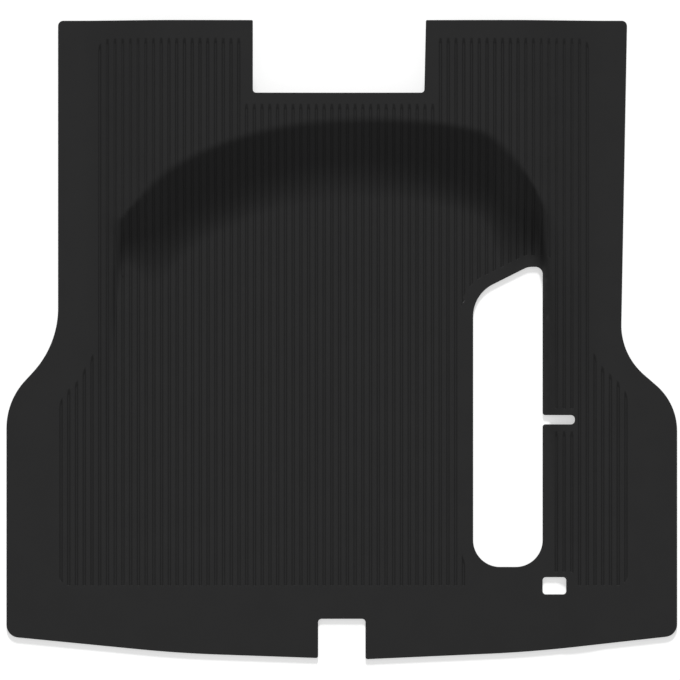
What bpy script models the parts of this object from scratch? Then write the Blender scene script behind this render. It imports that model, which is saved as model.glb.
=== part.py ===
"""Moulded rubber liner for the boot floor of a saloon car.

The liner is one sheet. It is laid out flat first: an outline with rounded corners, the cut-outs, and a
field of long grooves that leaves flat ribs between them. The flat sheet is then divided along the line
where the front shelf ends, and every point is lifted by the height of the boot floor under it.

Lengths are in metres. X runs across the car, +Y points to the car's front and +Z is up. The origin is
under the middle of the liner, at the level of the floor that it rests on.
"""

import math

import bmesh
import bpy
from mathutils import Matrix, Vector

# Sheet
LINER_WIDTH = 1.274
LINER_LENGTH = 1.213
SHEET_THICKNESS = 0.005

# Outline of the front part, between the wheel arches
LEFT_ARCH_INSET = 0.098
RIGHT_ARCH_INSET = 0.095
RIGHT_SIDE_TAPER = 0.012
FRONT_CORNER_RADIUS = 0.010

# Shoulders behind the wheel arches, measured back from the front edge
LEFT_SHOULDER_START = 0.616
LEFT_SHOULDER_END = 0.722
LEFT_SHOULDER_INNER_RADIUS = 0.209
LEFT_SHOULDER_OUTER_RADIUS = 0.132
RIGHT_SHOULDER_START = 0.634
RIGHT_SHOULDER_END = 0.727
RIGHT_SHOULDER_INNER_RADIUS = 0.125
RIGHT_SHOULDER_OUTER_RADIUS = 0.114

# Rear edge, which bows back from its corners to the latch; each rise is measured from the rearmost point
REAR_CORNER_RADIUS = 0.024
LEFT_CORNER_RISE = 0.0435
LEFT_BEND_X = 0.309
LEFT_BEND_RISE = 0.0115
LATCH_LEFT_RISE = 0.0023
RIGHT_CORNER_RISE = 0.045
RIGHT_BEND_X = 0.359
RIGHT_BEND_RISE = 0.014
REAR_BEND_RADIUS = 2.4

# Notch in the front edge
FRONT_NOTCH_WIDTH = 0.328
FRONT_NOTCH_DEPTH = 0.1375
FRONT_NOTCH_OFFSET = -0.0046
FRONT_NOTCH_TAPER = 0.003
FRONT_NOTCH_FILLET = 0.006
FRONT_NOTCH_MOUTH_RADIUS = 0.0025

# Notch for the latch in the rear edge
LATCH_NOTCH_WIDTH = 0.090
LATCH_NOTCH_DEPTH = 0.0768
LATCH_NOTCH_FILLET = 0.0065
LATCH_NOTCH_MOUTH_RADIUS = 0.004

# Long slot for the upright spare wheel
WHEEL_SLOT_WIDTH = 0.132
WHEEL_SLOT_LENGTH = 0.570
WHEEL_SLOT_FROM_FRONT = 0.4676
WHEEL_SLOT_X = 0.3155
WHEEL_SLOT_SLANT_LENGTH = 0.052
WHEEL_SLOT_SLANT_WIDTH = 0.104
WHEEL_SLOT_SLANT_RADIUS = 0.068
WHEEL_SLOT_TIP_RADIUS = 0.030
WHEEL_SLOT_FRONT_RADIUS = 0.023
WHEEL_SLOT_REAR_RADIUS = 0.051

# Short slot that opens sideways out of the wheel slot
SIDE_SLOT_WIDTH = 0.0175
SIDE_SLOT_REACH = 0.061
SIDE_SLOT_BACK = 0.2903
SIDE_SLOT_END_RADIUS = 0.0075
SIDE_SLOT_MOUTH_RADIUS = 0.005

# Small hole behind the wheel slot
SMALL_HOLE_WIDTH = 0.0448
SMALL_HOLE_LENGTH = 0.0327
SMALL_HOLE_GAP = 0.0194
SMALL_HOLE_RADIUS = 0.006

# Grooves, which run along the car
GROOVE_PITCH = 0.0147
GROOVE_WIDTH = 0.0064
GROOVE_FLOOR_WIDTH = 0.0026
GROOVE_DEPTH = 0.0024
GROOVE_CENTRE_X = 0.0032

# Plain margins between the grooved field and the edges of the sheet
FIELD_FRONT_MARGIN = 0.033
FIELD_REAR_MARGIN = 0.1397
FIELD_LEFT_FRONT_MARGIN = 0.0758
FIELD_RIGHT_FRONT_MARGIN = 0.0695
FIELD_LEFT_REAR_MARGIN = 0.0985
FIELD_RIGHT_REAR_MARGIN = 0.0925
FIELD_CORNER_RADIUS = 0.023
FIELD_NOTCH_SIDE_MARGIN = 0.022
FIELD_NOTCH_REAR_MARGIN = 0.0203

# Field edge beside the shoulders: where it leaves the side, where it bends, and where it ends
FIELD_LEFT_START = 0.616
FIELD_LEFT_BEND_OUT = 0.0395
FIELD_LEFT_BEND_BACK = 0.068
FIELD_LEFT_END = 0.718
FIELD_RIGHT_START = 0.618
FIELD_RIGHT_BEND_OUT = 0.018
FIELD_RIGHT_BEND_BACK = 0.034
FIELD_RIGHT_END = 0.703
FIELD_BEND_RADIUS = 0.060

# Plain margins around the cut-outs
SLOT_SIDE_MARGIN = 0.0218
SLOT_FRONT_MARGIN = 0.0218
SLOT_REAR_MARGIN = 0.0155
SIDE_SLOT_MARGIN = 0.012
SIDE_SLOT_END_MARGIN = 0.004
HOLE_FRONT_MARGIN = 0.010
HOLE_SIDE_MARGIN = 0.014

# Front shelf, which dips between its two sides
SHELF_HEIGHT = 0.056
DIP_SHARE = 0.28
DIP_HALF_WIDTH = 0.320

# Crest behind the shelf: a wide arc that blends into a tighter one at each side
CREST_BACK = 0.1855
CREST_RADIUS = 0.824
CREST_CENTRE_X = 0.053
RIGHT_CREST_RADIUS = 0.3175
RIGHT_CREST_CENTRE_X = 0.088
RIGHT_CREST_CENTRE_BACK = 0.472
RIGHT_CREST_STEEPEST = math.radians(73.5)
RIGHT_CREST_BLEND = 0.008
LEFT_CREST_RADIUS = 0.4215
LEFT_CREST_CENTRE_X = -0.054
LEFT_CREST_CENTRE_BACK = 0.6005
LEFT_CREST_STEEPEST = math.radians(47.7)
LEFT_CREST_BLEND = 0.026

# Step from the shelf down to the floor, which grows longer where the crest slants
STEP_LENGTH = 0.153
STEP_FOOT_LENGTH = 0.081
STEP_CREST_ROUNDING = 0.0075
STEP_SLANT_POWER = 1.2

# Ends of the step: where they are, how far the step narrows before them, and how it fans out past them
LEFT_TIP_X = -0.416
LEFT_TIP_NARROWING = 0.086
LEFT_TIP_SHARE = 0.42
RIGHT_TIP_X = 0.374
RIGHT_TIP_NARROWING = 0.066
RIGHT_TIP_SHARE = 0.35
FAN_WIDTH = 0.056
FAN_FORWARD = 0.060
FAN_LENGTH = 0.650

# Fall of the shelf towards each side edge
SIDE_BORDER_FLAT = 0.035
SIDE_FALL = 0.185

# Fineness of the model
ARC_TOLERANCE = 0.0004
STEP_ROW_COUNT = 3
CUTTER_REACH = 0.004
MERGE_DISTANCE = 0.000001
FLAT_ANGLE = math.radians(0.1)
SHARP_ANGLE = math.radians(30.0)
LARGEST_FILLET_SHARE = 0.49
LARGEST_ARC_SHARE = 0.95

# Rubber
RUBBER_COLOUR = (0.022, 0.022, 0.023, 1.0)
RUBBER_ROUGHNESS = 0.6

# Positions that follow from the sizes
LEFT_X = -LINER_WIDTH / 2
RIGHT_X = LINER_WIDTH / 2
FRONT_Y = LINER_LENGTH / 2
REAR_Y = -LINER_LENGTH / 2
FRONT_LEFT_X = LEFT_X + LEFT_ARCH_INSET
FRONT_RIGHT_X = RIGHT_X - RIGHT_ARCH_INSET
NOTCH_LEFT_X = FRONT_NOTCH_OFFSET - FRONT_NOTCH_WIDTH / 2
NOTCH_RIGHT_X = FRONT_NOTCH_OFFSET + FRONT_NOTCH_WIDTH / 2
NOTCH_REAR_Y = FRONT_Y - FRONT_NOTCH_DEPTH
SLOT_FRONT_Y = FRONT_Y - WHEEL_SLOT_FROM_FRONT
SLOT_REAR_Y = SLOT_FRONT_Y - WHEEL_SLOT_LENGTH
SLOT_LEFT_X = WHEEL_SLOT_X - WHEEL_SLOT_WIDTH / 2
SLOT_RIGHT_X = WHEEL_SLOT_X + WHEEL_SLOT_WIDTH / 2


def clear_scene():
    """Remove every object that the file holds."""
    for item in list(bpy.data.objects):
        bpy.data.objects.remove(item, do_unlink=True)


def new_collection(name):
    """Make a collection and link it to the scene."""
    collection = bpy.data.collections.new(name)
    bpy.context.scene.collection.children.link(collection)
    return collection


def fillet_points(before, corner, after, radius):
    """Points of the arc that rounds a corner, or the corner itself where it is sharp."""
    to_before = before - corner
    to_after = after - corner
    turn = math.pi - to_before.angle(to_after)
    room = LARGEST_FILLET_SHARE * min(to_before.length, to_after.length)
    tangent = min(radius * math.tan(turn / 2), room)
    radius = tangent / math.tan(turn / 2)
    if radius < ARC_TOLERANCE:
        return [corner]
    start = corner + to_before.normalized() * tangent
    end = corner + to_after.normalized() * tangent
    middle = (to_before.normalized() + to_after.normalized()).normalized()
    centre = corner + middle * radius / math.cos(turn / 2)
    step = 2 * math.acos(1 - ARC_TOLERANCE / radius)
    count = max(2, math.ceil(turn / step))
    spoke = start - centre
    side = 1 if spoke.cross(end - centre) > 0 else -1
    points = []
    for index in range(count + 1):
        points.append(centre + Matrix.Rotation(side * turn * index / count, 2) @ spoke)
    return points


def rounded_outline(corners):
    """Turn corners, each an x, a y and a radius, into the points of a closed outline."""
    points = []
    for index, (x, y, radius) in enumerate(corners):
        before = Vector(corners[index - 1][:2])
        after = Vector(corners[(index + 1) % len(corners)][:2])
        points.extend(fillet_points(before, Vector((x, y)), after, radius))
    return points


def flat_prism(name, corners, bottom, top, collection):
    """Make a closed prism over an outline, from one height to another."""
    points = rounded_outline(corners)
    curve = bpy.data.curves.new(name + "_outline", "CURVE")
    curve.dimensions = "2D"
    curve.fill_mode = "BOTH"
    curve.extrude = (top - bottom) / 2
    spline = curve.splines.new("POLY")
    spline.points.add(len(points) - 1)
    for place, point in zip(spline.points, points):
        place.co = (point.x, point.y, 0.0, 1.0)
    spline.use_cyclic_u = True
    guide = bpy.data.objects.new(name + "_outline", curve)
    collection.objects.link(guide)
    mesh = evaluated_mesh(guide)
    bpy.data.objects.remove(guide)
    mesh.name = name
    mesh.transform(Matrix.Translation((0.0, 0.0, (top + bottom) / 2)))
    return hidden_guide(name, mesh, collection)


def evaluated_mesh(item):
    """Copy an object, as evaluated, into a mesh of its own with closed seams and whole flats."""
    depsgraph = bpy.context.evaluated_depsgraph_get()
    mesh = bpy.data.meshes.new_from_object(item.evaluated_get(depsgraph))
    work = bmesh.new()
    work.from_mesh(mesh)
    bmesh.ops.remove_doubles(work, verts=work.verts, dist=MERGE_DISTANCE)
    bmesh.ops.dissolve_limit(work, angle_limit=FLAT_ANGLE, verts=work.verts, edges=work.edges)
    work.to_mesh(mesh)
    work.free()
    return mesh


def hidden_guide(name, mesh, collection):
    """Add a mesh as a guide, which is shown as wires and never rendered."""
    guide = bpy.data.objects.new(name, mesh)
    guide.hide_render = True
    guide.display_type = "WIRE"
    collection.objects.link(guide)
    return guide


def combine(item, other, operation):
    """Cut, join or intersect an object with another by a Boolean modifier."""
    modifier = item.modifiers.new(other.name, "BOOLEAN")
    modifier.operation = operation
    modifier.solver = "EXACT"
    modifier.object = other


def outline_corners():
    """Corners of the sheet, clockwise from the front edge's left end."""
    rear_left_y = REAR_Y + LEFT_CORNER_RISE
    rear_right_y = REAR_Y + RIGHT_CORNER_RISE
    half_latch = LATCH_NOTCH_WIDTH / 2
    latch_front_y = REAR_Y + LATCH_NOTCH_DEPTH
    right_shoulder_x = FRONT_RIGHT_X - RIGHT_SIDE_TAPER
    return [
        (FRONT_LEFT_X, FRONT_Y, FRONT_CORNER_RADIUS),
        (NOTCH_LEFT_X, FRONT_Y, FRONT_NOTCH_MOUTH_RADIUS),
        (NOTCH_LEFT_X, NOTCH_REAR_Y, FRONT_NOTCH_FILLET),
        (NOTCH_RIGHT_X - FRONT_NOTCH_TAPER, NOTCH_REAR_Y, FRONT_NOTCH_FILLET),
        (NOTCH_RIGHT_X, FRONT_Y, FRONT_NOTCH_MOUTH_RADIUS),
        (FRONT_RIGHT_X, FRONT_Y, FRONT_CORNER_RADIUS),
        (right_shoulder_x, FRONT_Y - RIGHT_SHOULDER_START, RIGHT_SHOULDER_INNER_RADIUS),
        (RIGHT_X, FRONT_Y - RIGHT_SHOULDER_END, RIGHT_SHOULDER_OUTER_RADIUS),
        (RIGHT_X, rear_right_y, REAR_CORNER_RADIUS),
        (RIGHT_BEND_X, REAR_Y + RIGHT_BEND_RISE, REAR_BEND_RADIUS),
        (half_latch, REAR_Y, LATCH_NOTCH_MOUTH_RADIUS),
        (half_latch, latch_front_y, LATCH_NOTCH_FILLET),
        (-half_latch, latch_front_y, LATCH_NOTCH_FILLET),
        (-half_latch, REAR_Y + LATCH_LEFT_RISE, LATCH_NOTCH_MOUTH_RADIUS),
        (-LEFT_BEND_X, REAR_Y + LEFT_BEND_RISE, REAR_BEND_RADIUS),
        (LEFT_X, rear_left_y, REAR_CORNER_RADIUS),
        (LEFT_X, FRONT_Y - LEFT_SHOULDER_END, LEFT_SHOULDER_OUTER_RADIUS),
        (FRONT_LEFT_X, FRONT_Y - LEFT_SHOULDER_START, LEFT_SHOULDER_INNER_RADIUS),
    ]


def wheel_slot_corners(side=0.0, front=0.0, rear=0.0, short_side=0.0, short_end=0.0):
    """Corners of the wheel slot with its side slot, grown by a margin on each side."""
    left = SLOT_LEFT_X - side
    right = SLOT_RIGHT_X + side
    front_y = SLOT_FRONT_Y + front
    rear_y = SLOT_REAR_Y - rear
    slope = WHEEL_SLOT_SLANT_LENGTH / WHEEL_SLOT_SLANT_WIDTH
    slant_rise = side * math.hypot(1.0, slope)
    slant_start_y = SLOT_FRONT_Y - WHEEL_SLOT_SLANT_LENGTH
    slant_left_y = slant_start_y - slope * side + slant_rise
    slant_front_x = SLOT_LEFT_X + (front_y - slant_start_y - slant_rise) / slope
    short_middle_y = SLOT_FRONT_Y - SIDE_SLOT_BACK
    short_half = SIDE_SLOT_WIDTH / 2 + short_side
    short_right = SLOT_RIGHT_X + SIDE_SLOT_REACH + short_end
    return [
        (left, slant_left_y, WHEEL_SLOT_SLANT_RADIUS),
        (slant_front_x, front_y, WHEEL_SLOT_TIP_RADIUS),
        (right, front_y, WHEEL_SLOT_FRONT_RADIUS),
        (right, short_middle_y + short_half, SIDE_SLOT_MOUTH_RADIUS),
        (short_right, short_middle_y + short_half, SIDE_SLOT_END_RADIUS),
        (short_right, short_middle_y - short_half, SIDE_SLOT_END_RADIUS),
        (right, short_middle_y - short_half, SIDE_SLOT_MOUTH_RADIUS),
        (right, rear_y, WHEEL_SLOT_REAR_RADIUS),
        (left, rear_y, WHEEL_SLOT_REAR_RADIUS),
    ]


def small_hole_corners(side=0.0, front=0.0):
    """Corners of the small hole, whose left side is in line with the wheel slot's right side."""
    left = SLOT_RIGHT_X - side
    right = SLOT_RIGHT_X + SMALL_HOLE_WIDTH + side
    front_y = SLOT_REAR_Y - SMALL_HOLE_GAP + front
    rear_y = SLOT_REAR_Y - SMALL_HOLE_GAP - SMALL_HOLE_LENGTH - front
    return [
        (left, front_y, SMALL_HOLE_RADIUS),
        (right, front_y, SMALL_HOLE_RADIUS),
        (right, rear_y, SMALL_HOLE_RADIUS),
        (left, rear_y, SMALL_HOLE_RADIUS),
    ]


def field_limits():
    """Left and right limits of the grooved field's wide rear part."""
    return LEFT_X + FIELD_LEFT_REAR_MARGIN, RIGHT_X - FIELD_RIGHT_REAR_MARGIN


def field_corners():
    """Corners of the grooved field, which follows the sheet's outline at its own margins."""
    rear_left, rear_right = field_limits()
    front_left = FRONT_LEFT_X + FIELD_LEFT_FRONT_MARGIN
    front_right = FRONT_RIGHT_X - FIELD_RIGHT_FRONT_MARGIN
    front_y = FRONT_Y - FIELD_FRONT_MARGIN
    rear_y = REAR_Y + FIELD_REAR_MARGIN
    notch_left = NOTCH_LEFT_X - FIELD_NOTCH_SIDE_MARGIN
    notch_right = NOTCH_RIGHT_X + FIELD_NOTCH_SIDE_MARGIN
    notch_y = NOTCH_REAR_Y - FIELD_NOTCH_REAR_MARGIN
    left_start_y = FRONT_Y - FIELD_LEFT_START
    right_start_y = FRONT_Y - FIELD_RIGHT_START
    return [
        (front_left, front_y, FIELD_CORNER_RADIUS),
        (notch_left, front_y, 0.0),
        (notch_left, notch_y, 0.0),
        (notch_right, notch_y, 0.0),
        (notch_right, front_y, 0.0),
        (front_right, front_y, FIELD_CORNER_RADIUS),
        (front_right, right_start_y, FIELD_BEND_RADIUS),
        (front_right + FIELD_RIGHT_BEND_OUT, right_start_y - FIELD_RIGHT_BEND_BACK, FIELD_BEND_RADIUS),
        (rear_right, FRONT_Y - FIELD_RIGHT_END, FIELD_BEND_RADIUS),
        (rear_right, rear_y, FIELD_CORNER_RADIUS),
        (rear_left, rear_y, FIELD_CORNER_RADIUS),
        (rear_left, FRONT_Y - FIELD_LEFT_END, FIELD_BEND_RADIUS),
        (front_left - FIELD_LEFT_BEND_OUT, left_start_y - FIELD_LEFT_BEND_BACK, FIELD_BEND_RADIUS),
        (front_left, left_start_y, FIELD_BEND_RADIUS),
    ]


def groove_places():
    """X of every groove that lies whole inside the field."""
    left, right = field_limits()
    first = math.ceil((left + GROOVE_WIDTH / 2 - GROOVE_CENTRE_X) / GROOVE_PITCH - 0.5)
    last = math.floor((right - GROOVE_WIDTH / 2 - GROOVE_CENTRE_X) / GROOVE_PITCH - 0.5)
    return [GROOVE_CENTRE_X + (index + 0.5) * GROOVE_PITCH for index in range(first, last + 1)]


def groove_bars(collection):
    """Make one tapered bar for each groove, longer than the field and twice as high as the groove.

    The flare of the groove's sides goes on above the sheet, up to the bar's top.
    """
    rear_y = REAR_Y + FIELD_REAR_MARGIN - CUTTER_REACH
    front_y = FRONT_Y - FIELD_FRONT_MARGIN + CUTTER_REACH
    floor_z = SHEET_THICKNESS - GROOVE_DEPTH
    top_half_width = GROOVE_WIDTH - GROOVE_FLOOR_WIDTH / 2
    size = Matrix.Diagonal((1.0, front_y - rear_y, 2 * GROOVE_DEPTH, 1.0))
    work = bmesh.new()
    for x in groove_places():
        place = Matrix.Translation((x, (front_y + rear_y) / 2, floor_z + GROOVE_DEPTH))
        bar = bmesh.ops.create_cube(work, size=1.0, matrix=place @ size)
        for vertex in bar["verts"]:
            on_floor = vertex.co.z < SHEET_THICKNESS
            half_width = GROOVE_FLOOR_WIDTH / 2 if on_floor else top_half_width
            vertex.co.x = x + math.copysign(half_width, vertex.co.x - x)
    mesh = bpy.data.meshes.new("groove_bars")
    work.to_mesh(mesh)
    work.free()
    return hidden_guide("groove_bars", mesh, collection)


def flat_sheet(cutters):
    """Make the flat sheet with its cut-outs and grooves."""
    sheet = flat_prism("flat_sheet", outline_corners(), 0.0, SHEET_THICKNESS, cutters)
    below = -CUTTER_REACH
    above = SHEET_THICKNESS + CUTTER_REACH
    wheel_slot = flat_prism("wheel_slot", wheel_slot_corners(), below, above, cutters)
    small_hole = flat_prism("small_hole", small_hole_corners(), below, above, cutters)
    field = flat_prism("field", field_corners(), below, above, cutters)
    slot_margin_corners = wheel_slot_corners(
        SLOT_SIDE_MARGIN, SLOT_FRONT_MARGIN, SLOT_REAR_MARGIN, SIDE_SLOT_MARGIN, SIDE_SLOT_END_MARGIN
    )
    slot_margin = flat_prism("slot_margin", slot_margin_corners, 2 * below, 2 * above, cutters)
    hole_margin_corners = small_hole_corners(HOLE_SIDE_MARGIN, HOLE_FRONT_MARGIN)
    hole_margin = flat_prism("hole_margin", hole_margin_corners, 2 * below, 2 * above, cutters)
    combine(field, slot_margin, "DIFFERENCE")
    combine(field, hole_margin, "DIFFERENCE")
    grooves = groove_bars(cutters)
    combine(grooves, field, "INTERSECT")
    combine(sheet, wheel_slot, "DIFFERENCE")
    combine(sheet, small_hole, "DIFFERENCE")
    combine(sheet, grooves, "DIFFERENCE")
    return sheet


def smooth_step(share):
    """Ease from 0 to 1 with level ends: 3 s squared minus 2 s cubed."""
    share = min(max(share, 0.0), 1.0)
    return share * share * (3 - 2 * share)


def wide_arc(x):
    """Y and fall to the right of the crest's wide arc above x."""
    end = LARGEST_ARC_SHARE * CREST_RADIUS
    arc_x = min(max(x - CREST_CENTRE_X, -end), end)
    rise = math.sqrt(CREST_RADIUS**2 - arc_x**2)
    return FRONT_Y - CREST_BACK - CREST_RADIUS + rise, arc_x / rise


def end_arc(outward, centre_back, radius, steepest):
    """Y and fall outward of a tight arc at one end of the crest, straight past its steepest place."""
    end = radius * math.sin(steepest)
    arc_x = min(max(outward, 0.0), end)
    rise = math.sqrt(radius**2 - arc_x**2)
    straight_fall = max(outward - end, 0.0) * math.tan(steepest)
    return FRONT_Y - centre_back + rise - straight_fall, arc_x / rise


def blended(first, second, blend):
    """Y and fall of the rearmost of two lines, each a y and a fall, with their meeting rounded.

    Where they are within the blend's reach of each other, share is how far the first is behind the
    second, from 0 to 1. The blend dips by share times one minus share below their mean.
    """
    share = min(max(0.5 + 0.5 * (second[0] - first[0]) / blend, 0.0), 1.0)
    y = share * first[0] + (1 - share) * second[0] - blend * share * (1 - share)
    return y, share * first[1] + (1 - share) * second[1]


def crest_line(x):
    """Y and fall to the right of the crest above x."""
    right = end_arc(
        x - RIGHT_CREST_CENTRE_X, RIGHT_CREST_CENTRE_BACK, RIGHT_CREST_RADIUS, RIGHT_CREST_STEEPEST
    )
    left_y, left_fall = end_arc(
        LEFT_CREST_CENTRE_X - x, LEFT_CREST_CENTRE_BACK, LEFT_CREST_RADIUS, LEFT_CREST_STEEPEST
    )
    crest = blended(wide_arc(x), right, RIGHT_CREST_BLEND)
    return blended(crest, (left_y, -left_fall), LEFT_CREST_BLEND)


def tip_narrowing(x):
    """Share of the step's full length that is left near its two ends."""
    left = smooth_step((x - LEFT_TIP_X) / LEFT_TIP_NARROWING)
    right = smooth_step((RIGHT_TIP_X - x) / RIGHT_TIP_NARROWING)
    left = LEFT_TIP_SHARE + (1 - LEFT_TIP_SHARE) * left
    right = RIGHT_TIP_SHARE + (1 - RIGHT_TIP_SHARE) * right
    return min(left, right)


def step_line(x):
    """Y where the step starts above x, and its length along Y; past its ends it fans out."""
    y, fall = crest_line(x)
    length = STEP_LENGTH * math.hypot(1.0, fall) ** STEP_SLANT_POWER * tip_narrowing(x)
    past_tip = max(LEFT_TIP_X - x, x - RIGHT_TIP_X)
    fan = smooth_step(past_tip / FAN_WIDTH)
    return y + fan * FAN_FORWARD, length + fan * FAN_LENGTH


def step_profile(share):
    """Height left at a share of the step's length, from 1 on the shelf to 0 on the floor.

    The slope grows evenly over the rounded crest, stays the same down the wall, and shrinks evenly
    over the foot.
    """
    rounding = STEP_CREST_ROUNDING / STEP_LENGTH
    foot = STEP_FOOT_LENGTH / STEP_LENGTH
    steepest = 1 / (1 - foot / 2)
    if share <= -rounding:
        return 1.0
    if share < rounding:
        return 1 - steepest * (share + rounding) ** 2 / (4 * rounding)
    if share < 1 - foot:
        return 1 - steepest * share
    return steepest * max(1 - share, 0.0) ** 2 / (2 * foot)


def shelf_height(x):
    """Height of the shelf, which dips between its two sides and falls towards each side edge."""
    dip = DIP_SHARE * (1 - smooth_step(abs(x) / DIP_HALF_WIDTH))
    left = (x - FRONT_LEFT_X - SIDE_BORDER_FLAT) / SIDE_FALL
    right = (FRONT_RIGHT_X - SIDE_BORDER_FLAT - x) / SIDE_FALL
    return SHELF_HEIGHT * (1 - dip) * smooth_step(min(left, right))


def floor_height(x, y):
    """Height of the boot floor that the liner is moulded to."""
    start, length = step_line(x)
    return shelf_height(x) * step_profile((start - y) / length)


def faces_between(work, left, right):
    """Faces whose middle lies between two places across the car, with their edges and points."""
    faces = [face for face in work.faces if left < face.calc_center_median().x < right]
    edges = {edge for face in faces for edge in face.edges}
    points = {point for face in faces for point in face.verts}
    return list(points) + list(edges) + faces


def near_tips(x):
    """Whether x is beside an end of the step, where its length changes fast."""
    near_left = LEFT_TIP_X - FAN_WIDTH < x < LEFT_TIP_X + LEFT_TIP_NARROWING
    near_right = RIGHT_TIP_X - RIGHT_TIP_NARROWING < x < RIGHT_TIP_X + FAN_WIDTH
    return near_left or near_right


def column_places():
    """X of the lines that divide the raised part across the car.

    They lie on the middle of each rib, and near the step's ends on the middle of each groove too.
    """
    left = FRONT_LEFT_X + SIDE_BORDER_FLAT
    right = FRONT_RIGHT_X - SIDE_BORDER_FLAT
    spacing = GROOVE_PITCH / 2
    first = math.ceil((left - GROOVE_CENTRE_X) / spacing)
    last = math.floor((right - GROOVE_CENTRE_X) / spacing)
    places = [left]
    for index in range(first, last + 1):
        x = GROOVE_CENTRE_X + index * spacing
        if index % 2 == 0 or near_tips(x):
            places.append(x)
    return places + [right]


def row_places():
    """Shares of the step's length where the sheet is divided along the crest."""
    rounding = STEP_CREST_ROUNDING / STEP_LENGTH
    foot = STEP_FOOT_LENGTH / STEP_LENGTH
    rows = [-rounding, 0.0, rounding]
    for index in range(STEP_ROW_COUNT + 1):
        rows.append(1 - foot + foot * index / STEP_ROW_COUNT)
    return rows


def cut_columns(work, places):
    """Divide the sheet along the car at each place."""
    across = Vector((1.0, 0.0, 0.0))
    for x in places:
        geometry = list(work.verts) + list(work.edges) + list(work.faces)
        bmesh.ops.bisect_plane(
            work, geom=geometry, dist=MERGE_DISTANCE, plane_co=across * x, plane_no=across
        )


def cut_rows(work, left, right):
    """Divide the strip between two columns by lines that join the same share of the step on both."""
    geometry = faces_between(work, left, right)
    left_start, left_length = step_line(left)
    right_start, right_length = step_line(right)
    for share in row_places():
        place = Vector((left, left_start - share * left_length, 0.0))
        other = Vector((right, right_start - share * right_length, 0.0))
        normal = (other - place).cross(Vector((0.0, 0.0, 1.0))).normalized()
        cut = bmesh.ops.bisect_plane(
            work, geom=geometry, dist=MERGE_DISTANCE, plane_co=place, plane_no=normal
        )
        geometry = cut["geom"]


def form_sheet(mesh):
    """Divide the flat sheet where the floor bends, and lift each point by the floor's height."""
    work = bmesh.new()
    work.from_mesh(mesh)
    columns = column_places()
    cut_columns(work, columns)
    for left, right in zip(columns, columns[1:]):
        cut_rows(work, left, right)
    bmesh.ops.remove_doubles(work, verts=work.verts, dist=MERGE_DISTANCE)
    for vertex in work.verts:
        vertex.co.z += floor_height(vertex.co.x, vertex.co.y)
    bmesh.ops.triangulate(work, faces=work.faces)
    bmesh.ops.recalc_face_normals(work, faces=work.faces)
    work.to_mesh(mesh)
    work.free()


def rubber():
    """Black rubber, matt and slightly rough."""
    material = bpy.data.materials.new("black_rubber")
    material.use_nodes = True
    shader = material.node_tree.nodes["Principled BSDF"]
    shader.inputs["Base Color"].default_value = RUBBER_COLOUR
    shader.inputs["Roughness"].default_value = RUBBER_ROUGHNESS
    shader.inputs["Metallic"].default_value = 0.0
    return material


def boot_liner(collection, cutters):
    """Make the liner from its flat sheet."""
    mesh = evaluated_mesh(flat_sheet(cutters))
    mesh.name = "boot_liner"
    form_sheet(mesh)
    mesh.materials.clear()
    mesh.materials.append(rubber())
    mesh.shade_smooth()
    mesh.set_sharp_from_angle(angle=SHARP_ANGLE)
    liner = bpy.data.objects.new("boot_liner", mesh)
    collection.objects.link(liner)
    return liner


def main():
    """Build the liner in its own collection, with its cutters in another."""
    clear_scene()
    collection = new_collection("boot_liner")
    cutters = new_collection("cutters")
    boot_liner(collection, cutters)


main()
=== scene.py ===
"""Looks of a moulded rubber boot liner: its fine surface, its rubber, the studio and the camera.

The liner is one sheet. Its height is a function of two parameters, x across the car and y along it, and
its edges are a small profile carried along the outline and along each cut-out. Lengths are in metres, with
X across the car, +Y towards the car's front and +Z up.
"""

import logging
import math
from dataclasses import dataclass, field
from enum import Enum

import bpy
import numpy as np
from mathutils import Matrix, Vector
from mathutils.geometry import delaunay_2d_cdt


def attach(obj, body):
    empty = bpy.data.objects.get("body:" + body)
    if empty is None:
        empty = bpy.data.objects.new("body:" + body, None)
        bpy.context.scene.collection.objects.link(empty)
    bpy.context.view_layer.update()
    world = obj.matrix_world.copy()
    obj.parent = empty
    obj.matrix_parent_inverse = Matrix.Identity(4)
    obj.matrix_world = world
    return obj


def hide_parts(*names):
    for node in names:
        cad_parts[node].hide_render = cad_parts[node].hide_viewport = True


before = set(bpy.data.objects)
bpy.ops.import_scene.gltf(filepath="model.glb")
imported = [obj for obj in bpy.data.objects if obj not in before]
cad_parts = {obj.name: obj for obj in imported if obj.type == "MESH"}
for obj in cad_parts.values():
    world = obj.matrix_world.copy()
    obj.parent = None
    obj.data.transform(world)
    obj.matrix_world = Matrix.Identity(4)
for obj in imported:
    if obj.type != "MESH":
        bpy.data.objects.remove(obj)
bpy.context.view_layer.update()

LOG = logging.getLogger("boot_liner")


class Texture(Enum):
    """Kinds of texture that the rubber carries."""

    GRAIN = "grain"
    TONE = "tone"


def smooth_step(share: np.ndarray) -> np.ndarray:
    """Ease from 0 to 1 with level ends: 3 s squared minus 2 s cubed."""
    share = np.clip(share, 0.0, 1.0)
    return share * share * (3 - 2 * share)


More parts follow.
